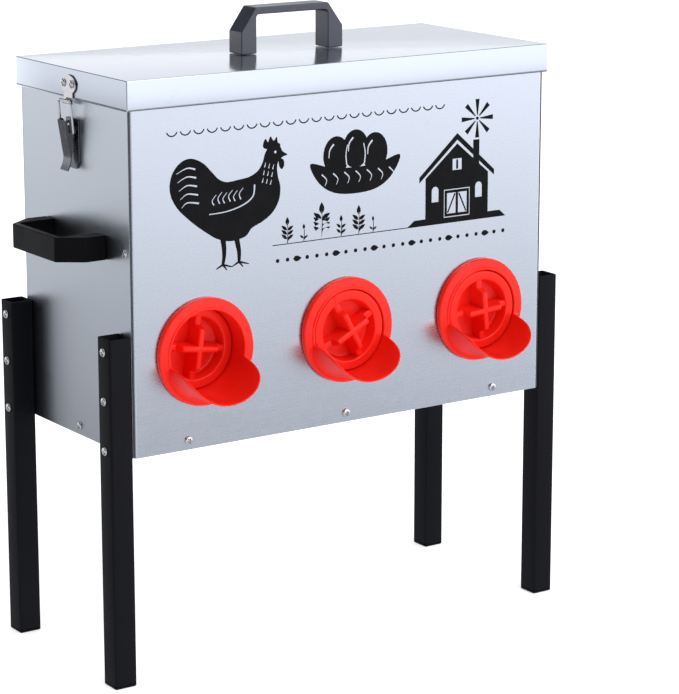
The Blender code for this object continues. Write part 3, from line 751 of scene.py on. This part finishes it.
def build_cap(port):
    """Push-in cap: a flush ring round a deep recess, with a raised cross to grip."""
    x, z = port_centre(port)
    low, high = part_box(f"{port}_cap")
    face, length = low.y + GRIP_RISE, high.y - low.y - GRIP_RISE
    floor = -0.013
    profile = [(0.001, floor), (0.0275, floor), (0.0295, floor + 0.0006), (0.0306, floor + 0.0024),
               (0.0322, -0.0018), (0.0326, -0.0008), (0.0332, -0.0002), (0.0342, 0.0), (0.0405, 0.0),
               (0.0416, -0.0003), (0.0422, -0.0009), (0.0425, -0.0018), (0.0425, -length),
               (0.0405, -length), (0.0405, -0.0026), (0.0348, -0.0026), (0.0330, floor - 0.002),
               (0.001, floor - 0.002)]
    made = solid("cap", turned(profile, lambda u, v, w: (x + u, face - w, z + v), 128))
    for turn in (CAP_TURNS[port], CAP_TURNS[port] + 90):
        cosine, sine = cos(radians(turn)), sin(radians(turn))

        def place(u, v, w):
            return (x + u * cosine - v * sine, face - w, z + u * sine + v * cosine)

        combine(made, grip_bar(place, floor - 0.001), "UNION")
    soften(made, 0.0005, 2, 35)
    piece(f"{port}_cap_moulding", made, RED, f"{port}_cap", "red_plastic", f"{port}_cap")


# ---- latches ----
def build_latch(side, sign):
    """Toggle latch: base with ears, channel lever, wire bail, pin and the catch on the lid."""
    pivot = JOINTS[f"{side}_latch_swing"]["pos_m"]
    bail_pivot = JOINTS[f"{side}_bail_swing"]["pos_m"]
    wall = sign * HALF_WIDTH
    along_middle = pivot[1]

    def place(out, height, along):
        return (wall + sign * out, along_middle + along, height)

    pin_out, pin_height = abs(pivot[0]) - HALF_WIDTH, pivot[2]
    bail_out, bail_height = abs(bail_pivot[0]) - HALF_WIDTH, bail_pivot[2]
    metal = 0.0012
    slot = "bright_steel"
    lean = 42                   # how far the ears lean down from the pin, in degrees

    low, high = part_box(f"{side}_latch_base")
    half = (high.y - low.y) / 2
    nose = half * 0.55
    outline = fillet([(high.z, -half), (high.z, half), (low.z + nose, half), (low.z, nose),
                      (low.z, -nose), (low.z + nose, -half)], [0.002] * 2 + [0.004] * 4)
    base = solid("base", prism(outline, lambda u, v, w: place(w, u, v), GAP, GAP + metal))
    ear = arc((pin_out, pin_height), 0.0025, lean - 90, lean + 90, 14)
    foot = GAP + metal / 2
    for corner in (ear[-1], ear[0]):
        ear.append((foot, corner[1] - (corner[0] - foot) * tan(radians(lean))))
    for near, far in ((0.0053, 0.0065), (-0.0065, -0.0053)):
        combine(base, prism(ear, place, near, far), "UNION")
    soften(base, 0.0002, 2, 40)
    # Base plate and lever take the darkened steel: painted shade.
    piece(f"{side}_latch_base_plate", base, SHADED_STEEL, "hopper", slot, f"{side}_latch_base")

    pin = turned([(0.0010, -0.0084), (0.0015, -0.0081), (0.0015, 0.0081), (0.0010, 0.0084)],
                 lambda u, v, w: place(pin_out + u, pin_height + v, w), 24)
    piece(f"{side}_latch_pivot_pin", pin, STEEL, "hopper", slot, f"{side}_latch_pin", sharp=40)

    skin = smooth_line([(0.0138, 0.5665), (0.0126, 0.5590), (0.0094, 0.5390), (0.0081, 0.5310),
                        (0.0080, 0.5270), (0.0094, 0.5215), (0.0120, 0.5160)])
    lever = solid("lever", prism(thicken(skin, -metal), place, -0.0078, 0.0078))
    cheek = [(0.0132, 0.5662), (0.0074, 0.5305), (0.0062, 0.5305), (0.0056, 0.5470), (0.0042, 0.5510),
             (0.0042, 0.5570), (0.0062, 0.5650), (0.0080, 0.5675), (0.0118, 0.5675)]
    cheek = fillet(cheek, [0, 0, 0.0004, 0.004, 0.0015, 0.002, 0.001, 0.001, 0.001])
    for near, far in ((0.0068, 0.0080), (-0.0080, -0.0068)):
        combine(lever, prism(cheek, place, near, far), "UNION")
    for out, height, radius in ((pin_out, pin_height, 0.0018), (bail_out, bail_height, 0.00155)):
        hole = turned([(radius, -0.02), (radius, 0.02)],
                      lambda u, v, w: place(out + u, height + v, w), 24)
        combine(lever, hole, "DIFFERENCE")
    soften(lever, 0.00018, 2, 40)
    piece(f"{side}_latch_lever_channel", lever, SHADED_STEEL, f"{side}_lever", slot, f"{side}_latch_lever")

    top_out, top_height, half = 0.0096, 0.5865, 0.0126
    slope = (top_out - bail_out) / (top_height - bail_height)
    outline = [(0.0071, bail_height), (half - 0.0012, bail_height), (half - 0.0003, bail_height + 0.0004),
               (half, bail_height + 0.0013)]
    outline += arc((half - 0.004, top_height - 0.004), 0.004, 0, 90, 6)
    outline += [(-u, v) for u, v in reversed(outline)]
    bail = wire([place(bail_out + slope * (v - bail_height), v, u) for u, v in outline], 0.0012)
    piece(f"{side}_latch_wire_bail", bail, STEEL, f"{side}_bail", slot, f"{side}_latch_bail", sharp=50)

    low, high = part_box(f"{side}_latch_catch")
    half_width, half_height = (high.y - low.y) / 2, 0.010
    head = high.z - half_height
    inner = abs(low.x if sign > 0 else high.x) - HALF_WIDTH
    neck = 0.0085
    swing = degrees(asin(neck / half_width))
    oval = [(half_width * u, head + half_height * v)
            for u, v in arc((0, 0), 1.0, swing - 90, 270 - swing, 40)]
    outline = [(neck, low.z)] + oval + [(-neck, low.z)]
    catch = solid("catch", prism(outline, lambda u, v, w: place(w, v, u), inner, inner + metal))
    hook = smooth_line([(inner + 0.0006, low.z + 0.0006), (0.0072, low.z + 0.0006),
                        (0.0079, low.z + 0.0014), (0.0079, low.z + 0.0042)], 4)
    combine(catch, prism(thicken(hook, metal * 0.9), place, -neck + 0.0006, neck - 0.0006), "UNION")
    soften(catch, 0.0002, 2, 40)
    piece(f"{side}_latch_catch_plate", catch, STEEL, "lid", slot, f"{side}_latch_catch")

    screw = screw_master(0.0012)
    screw.transform(Matrix.Scale(0.9, 4))
    for number, along in enumerate((-0.0082, 0.0082), 1):
        place_screw(f"{side}_catch_screw_{number}", screw, place(inner + metal, head + 0.001, along),
                    (sign, 0, 0), number * 0.9, "lid")


# ---- printed decoration ----
def printed(name, outlines):
    """Print closed (x, z) outlines on the front panel; an outline inside another is a hole."""
    curve = bpy.data.curves.new(name, "CURVE")
    curve.dimensions = "2D"
    curve.fill_mode = "BOTH"
    curve.extrude = 0.00005
    for outline in outlines:
        spline = curve.splines.new("POLY")
        spline.points.add(len(outline) - 1)
        spline.use_cyclic_u = True
        for point, (x, z) in zip(spline.points, outline):
            point.co = (x, z, 0.0, 1.0)
    drawn = link(name, curve)
    shape = bmesh.new()
    shape.from_mesh(baked(drawn))
    bpy.data.objects.remove(drawn)
    shape.transform(Matrix.Translation((0, FRONT - 0.00010, 0)) @ Matrix.Rotation(pi / 2, 4, "X"))
    bmesh.ops.remove_doubles(shape, verts=shape.verts, dist=1e-6)
    piece(name, shape, INK, "hopper", "black_plastic", sharp=30)


def leaf(base, tip, width):
    """Pointed oval from base to tip."""
    start, end = Vector(base), Vector(tip)
    across = Vector((start.y - end.y, end.x - start.x)).normalized() * width / 2
    left = [start.lerp(end, t) + across * sin(pi * t ** 0.8) for t in (0, .2, .4, .6, .8, 1)]
    right = [start.lerp(end, t) - across * sin(pi * t ** 0.8) for t in (.8, .6, .4, .2)]
    return left + right


def stroke(points, width, end_width=None):
    """Tapered brush stroke along a curve."""
    end_width = width if end_width is None else end_width
    line = smooth_line(points)
    left, right = [], []
    for index, point in enumerate(line):
        ahead = Vector(line[min(index + 1, len(line) - 1)]) - Vector(line[max(index - 1, 0)])
        across = Vector((-ahead.y, ahead.x)).normalized()
        share = index / (len(line) - 1)
        half = (width + (end_width - width) * share) / 2
        left.append(Vector(point) + across * half)
        right.append(Vector(point) - across * half)
    return left + right[::-1]


def shifted(outlines, x, z, scale=0.001):
    """Outlines drawn in millimetres, moved to a place on the panel."""
    return [[(x + u * scale, z + v * scale) for u, v in outline] for outline in outlines]


def ellipse(centre, half_u, half_v, steps=28):
    """Ellipse outline."""
    return [(centre[0] + half_u * cos(tau * k / steps),
             centre[1] + half_v * sin(tau * k / steps)) for k in range(steps)]


def hen_outlines():
    """Plain hen in silhouette, facing right."""
    body = [(26, 8), (34, 16), (48, 22), (60, 30), (68, 42), (70, 56), (67, 68), (66, 78), (68, 84),
            (73, 88), (79, 90), (73, 94), (70, 99), (64, 102), (56, 100), (51, 93), (48, 84), (42, 76),
            (32, 71), (18, 69), (4, 68), (-6, 72), (-14, 80), (-24, 90), (-36, 96), (-46, 96),
            (-55, 91), (-62, 82), (-65, 70), (-63, 58), (-56, 46), (-46, 36), (-34, 26), (-20, 16),
            (-8, 9), (8, 5)]
    comb = [(50, 99), (49, 104), (52, 109), (55, 105), (58, 111), (62, 106), (66, 110), (67, 104),
            (70, 102), (69, 98), (60, 97)]
    wattle = [(69, 87), (74, 85), (75, 79), (72, 75), (69, 78), (68, 84)]
    shapes = [smooth_line(body, 5, True), smooth_line(comb, 3, True), smooth_line(wattle, 3, True)]
    for hip, knee, foot in (((-2, 12), (0, -6), (-2, -20)), ((14, 12), (18, -6), (18, -19))):
        shapes.append(stroke([hip, knee, foot], 7.0, 3.0))
        for toe in ((12, -2.5), (5, -5), (-8, -3)):
            tip = (foot[0] + toe[0], foot[1] + toe[1])
            shapes.append(stroke([(foot[0], foot[1] + 1), tip], 2.6, 1.0))
    return shapes


def hen_feathers():
    """Light strokes left out of the ink: tail, wing, neck and eye."""
    strokes = []
    for index in range(5):
        z = 88 - 9 * index
        strokes.append(stroke([(-57 + 1.5 * index, z - 6), (-44, z - 1), (-34 + index, z - 3)], 0.6, 1.9))
    strokes.append(stroke([(38, 62), (36, 50), (24, 42), (4, 37), (-18, 36)], 2.0, 1.0))
    for row in range(3):
        x = 24 - 13 * row
        strokes.append(stroke([(x, 60 - row), (x - 5, 54 - row), (x - 3, 48 - row)], 0.7, 1.6))
        strokes.append(stroke([(x - 7, 58 - row), (x - 12, 52 - row), (x - 10, 47 - row)], 0.7, 1.6))
    for row in range(3):
        for column in range(3):
            x, z = 52 + 5 * column - 1.5 * row, 84 - 8 * row - 1.5 * column
            strokes.append(stroke([(x, z), (x - 1.4, z - 5)], 0.6, 1.5))
    strokes.append(ellipse((64, 94), 1.5, 1.5, 12))
    return strokes


def cut_print(name, solids, cuts, x, z, scale=0.001):
    """Print overlapping solids as one shape, less the cuts."""
    def flat(outlines, depth):
        start, end = FRONT - 0.00015 - depth, FRONT - 0.00003 + depth
        return [prism(outline, lambda u, v, w: (u, w, v), start, end)
                for outline in shifted(outlines, x, z, scale)]

    parts = flat(solids, 0.0)
    made = solid(name, parts[0])
    for part in parts[1:]:
        combine(made, part, "UNION")
    for cut in flat(cuts, 0.001):
        combine(made, cut, "DIFFERENCE")
    piece(name, made, INK, "hopper", "black_plastic", sharp=30)


def sprig(x, height, pairs):
    """Upright sprig: a stem with pairs of leaves, and one leaf at the tip."""
    shapes = [stroke([(x, 0), (x + 0.6, height * 0.5), (x, height * 0.75)], 0.8, 0.5)]
    shapes.append(leaf((x, height * 0.68), (x, height), height * 0.17))
    for index in range(pairs):
        base = height * (0.16 + 0.5 * index / pairs)
        size = height * 0.27
        for sign in (-1, 1):
            lift = size * (0.55 if sign > 0 else 0.75)
            shapes.append(leaf((x + sign * 0.4, base), (x + sign * size, base + lift), height * 0.13))
    return shapes


SCALLOP_ROW, GROUND, BEAD_ROW = 0.5655, 0.4365, 0.4205  # heights on the front panel


def build_prints():
    """Plain farmyard decoration of generic shapes, without any lettering."""
    centres = [(-0.2065 + 0.0155 * index, SCALLOP_ROW) for index in range(22)]
    printed("scallop_print", [stroke(arc(centre, 0.0062, 200, 340, 8), 0.0013) for centre in centres])
    cut_print("hen_print", hen_outlines(), hen_feathers(), -0.1475, 0.4425, 0.00096)
    printed("ground_line_print", [rectangle(-0.090, GROUND, 0.206, GROUND + 0.0009)])
    sprigs = []
    for x, height, pairs in ((-72, 27, 3), (-52, 18, 1), (-30, 38, 4), (-6, 22, 2), (16, 30, 3),
                             (34, 17, 1)):
        sprigs += sprig(x, height, pairs)
    printed("sprig_print", shifted(sprigs, 0.0, GROUND + 0.0012))
    build_nest_print(0.012, 0.512)
    build_barn_print(0.079)
    build_rotor_print(0.168, 0.545)

    beads = []
    for index in range(25):
        x = -0.084 + 0.012 * index
        if index % 4 == 2:
            beads.append(leaf((x - 0.0052, BEAD_ROW), (x + 0.0052, BEAD_ROW), 0.0062))
        else:
            beads.append(ellipse((x, BEAD_ROW), 0.0021, 0.0021, 16))
    printed("bead_border_print", beads)


def build_nest_print(x, z):
    """Three eggs in a straw nest."""
    eggs = ((-24, 0), (24, 0), (0, 5))
    solids = [ellipse((u, 10 + v), 16, 20) for u, v in eggs]
    solids.append(smooth_line([(-56, 4), (-44, -18), (-20, -30), (20, -30), (44, -18), (56, 4),
                               (30, -2), (0, -4), (-30, -2)], loop=True))
    cuts = [stroke([(u - 9, 8 + v), (u - 8, 16 + v), (u - 3, 22 + v)], 1.0, 2.2) for u, v in eggs]
    for index in range(7):
        start = -42 + 14 * index
        cuts.append(stroke([(start, -8), (start + 6, -14), (start + 4, -20)], 1.6, 0.8))
    for sign in (-1, 1):
        cuts.append(stroke([(sign * 11, -1), (sign * 12, 10), (sign * 10, 20)], 1.6, 1.2))
    cut_print("nest_print", solids, cuts, x, z)


def build_barn_print(x):
    """Plain barn with a pitched roof, a chimney and braced doors."""
    solids = [[(22, 0), (104, 0), (104, 50), (63, 84), (22, 50)],
              [(14, 46), (63, 88), (112, 46), (112, 52), (63, 95), (14, 52)],
              [(-2, 0), (128, 0), (120, 7), (8, 7)], [(84, 66), (92, 60), (92, 86), (84, 86)]]
    cuts = [rectangle(46, 6, 80, 36)]
    for window in (30, 87):
        cuts.append([(window, 24), (window + 9, 24)] + arc((window + 4.5, 36), 4.5, 0, 180, 8))
    cuts.append(rectangle(57, 56, 69, 68))
    cut_print("barn_print", solids, cuts, x, GROUND)
    bars = [rectangle(47, 7, 79, 35), rectangle(50, 10, 61.5, 32), rectangle(64.5, 10, 76, 32)]
    printed("barn_door_print", shifted(bars, x, GROUND))
    braces = [stroke([(51, 11), (60.5, 31)], 1.6), stroke([(75, 11), (65.5, 31)], 1.6),
              rectangle(61.8, 57, 64.2, 67)]
    printed("barn_brace_print", shifted(braces, x, GROUND))


def build_rotor_print(x, z):
    """Eight-bladed wind rotor."""
    hub = Vector((x, z))
    blades = [ellipse((x, z), 0.0018, 0.0018, 16)]
    for index in range(8):
        angle = radians(45 * index)
        ahead = Vector((cos(angle), sin(angle)))
        across = Vector((-ahead.y, ahead.x))
        near, far = hub + ahead * 0.0035, hub + ahead * 0.0205
        blades.append([near + across * 0.0005, far + across * 0.0026,
                       far - across * 0.0026, near - across * 0.0005])
    printed("wind_rotor_print", blades)


# ---- studio ----
CAMERA_PLACE = (-1.5373, FRONT - 2.2483, 0.9777)
CAMERA_AZIMUTH = 0.5973  # radians to the right of +Y
CAMERA_TILT = -0.2242  # radians above the horizon
SENSOR = 36  # millimetres along the image's height of 694 pixels
CAMERA_FOCAL = 2693.1 / 694 * SENSOR
CAMERA_SHIFT = -0.0504
# bright areas round the object: direction, cosines at its edge and where it is full, strength
FADING_AREAS = (((0.56, -0.83, 0.05), 0.55, 0.95, 2.10),  # front right
                ((0.56, 0.82, 0.12), 0.80, 0.97, 1.18),  # back right
                ((-0.56, 0.82, -0.08), 0.84, 0.985, 1.38),  # back left
                ((0.20, -0.30, 0.93), 0.30, 1.0, 0.45),  # overhead
                ((-0.10, 0.30, 0.95), 0.74, 0.98, 0.70))
STEADY_AREAS = (((1.00, 0.00, -0.20), 0.82, 0.98, 1.50),  # right
                ((-1.00, 0.05, -0.20), 0.86, 0.98, 1.10),  # left
                ((0.05, 1.00, -0.20), 0.88, 0.99, 1.60),  # back
                ((-0.60, -0.80, -0.30), 0.82, 0.98, 0.80),  # front left
                ((-0.10, -0.88, -0.45), 0.93, 0.99, 0.80),  # front, from low down
                ((0.76, 0.55, -0.35), 0.93, 0.99, 0.70),  # back right, from low down
                ((0.00, 0.00, -1.00), 0.45, 0.80, 0.80))  # below
DIM = 0.07  # even light of the surroundings between the areas
FADE_START, FADE_END = -0.08, -0.33  # heights between which the fading areas dim
LOW_DIM = 0.06  # share of the fading light that is left below that
BRIGHTEST = 2.1  # nothing in the surroundings is brighter
BACKDROP = 1.1  # least brightness where the camera sees them
SKY_TINT = (0.93, 0.95, 1.0, 1.0)
KEY_RADIANCE = 3.7  # brightness of the soft box's face
KEY_PLACE = (0.5, -2.1, 3.7)
KEY_TARGET = (0, 0, 0.4)
KEY_SIZE = (2.2, 1.8)
FLOOR_HALF = 30.0
FLOOR_GLOW = 0.62


def aim(made, place, ahead):
    """Put a camera or lamp at a place, looking along a direction."""
    made.location = place
    made.rotation_mode = "QUATERNION"
    made.rotation_quaternion = Vector(ahead).to_track_quat("-Z", "Y")


def build_camera():
    """Camera at the photograph's viewing angle, front left."""
    data = bpy.data.cameras.new("camera")
    data.sensor_width = SENSOR
    data.lens = CAMERA_FOCAL
    data.shift_y = CAMERA_SHIFT
    camera = link("camera", data)
    level = cos(CAMERA_TILT)
    aim(camera, CAMERA_PLACE, (sin(CAMERA_AZIMUTH) * level, cos(CAMERA_AZIMUTH) * level,
                               sin(CAMERA_TILT)))
    bpy.context.scene.camera = camera


def build_key_light():
    """Large soft box in front of the feeder and above it, facing the hopper."""
    data = bpy.data.lights.new("key_box", "AREA")
    data.shape = "RECTANGLE"
    data.size, data.size_y = KEY_SIZE
    data.energy = KEY_RADIANCE * pi * KEY_SIZE[0] * KEY_SIZE[1]
    lamp = link("key_box", data)
    aim(lamp, KEY_PLACE, Vector(KEY_TARGET) - Vector(KEY_PLACE))
    lamp.visible_camera = False


def build_world():
    """Dim surroundings with soft bright areas, and a plain pale backdrop for the camera."""
    world = bpy.data.worlds.new("studio")
    bpy.context.scene.world = world
    world.use_nodes = True
    graph = Graph(world.node_tree)
    direction = graph.node("TexCoord").outputs["Generated"]

    def along(axis):
        """Cosine of the angle between the direction and an axis."""
        made = graph.node("VectorMath")
        made.operation = "DOT_PRODUCT"
        graph.feed(made.inputs[0], direction)
        graph.feed(made.inputs[1], Vector(axis).normalized())
        return made.outputs["Value"]

    def light(areas, least):
        """All the areas' light, over an even least light."""
        total = least
        for axis, start, end, strength in areas:
            area = graph.remap(along(axis), 0.0, strength, start, end)
            area.node.interpolation_type = "SMOOTHSTEP"
            total = graph.add(area, total)
        return total

    fade = graph.remap(along((0, 0, 1)), LOW_DIM, 1.0, FADE_END, FADE_START)
    lit = graph.add(graph.times(light(FADING_AREAS, DIM), fade), light(STEADY_AREAS, 0.0))
    lit = graph.math("MINIMUM", lit, BRIGHTEST)
    seen = graph.times(graph.node("LightPath").outputs["Is Camera Ray"], BACKDROP)
    sky = world.node_tree.nodes["Background"]
    graph.feed(sky.inputs["Strength"], graph.math("MAXIMUM", lit, seen))
    graph.feed(sky.inputs["Color"], SKY_TINT)


def build_floor():
    """Pale paper floor."""
    shape = bmesh.new()
    bmesh.ops.create_grid(shape, x_segments=2, y_segments=2, size=FLOOR_HALF)
    floor = solid("studio_floor", shape)
    paper = Surface("floor_paper", Specular_IOR_Level=0.1, Emission_Color=(1.0, 1.0, 1.0, 1.0),
                    Emission_Strength=FLOOR_GLOW)
    white = paper.mix(paper.patches(3.0, 0.3, 0.7, 3.0, 0.5), (0.90, 0.90, 0.905, 1.0),
                      (0.92, 0.92, 0.925, 1.0))
    floor.data.materials.append(paper.finish(white, 0.8, paper.noise(300.0), 0.1, 0.0005))
    floor.location.z = -0.0005
    floor.visible_glossy = False


# ---- everything ----
bpy.context.scene.view_settings.view_transform = "Standard"
build_camera()
build_floor()
build_world()
build_key_light()
build_front_and_back()
build_sides()
build_lid()
build_handles()
build_legs()
build_screws()
for port_name in PORTS:
    build_port(port_name)
    build_cap(port_name)
for side_name, side_sign in SIDES:
    build_latch(side_name, side_sign)
build_prints()
coats = {"floor_panel": SHEET, "feed_chute": SHEET}
coats.update({f"{port_name}_lock_ring": RED for port_name in PORTS})
for node_name, coat in coats.items():
    materials = frame["nodes"][node_name].data.materials
    materials.clear()
    materials.append(coat)
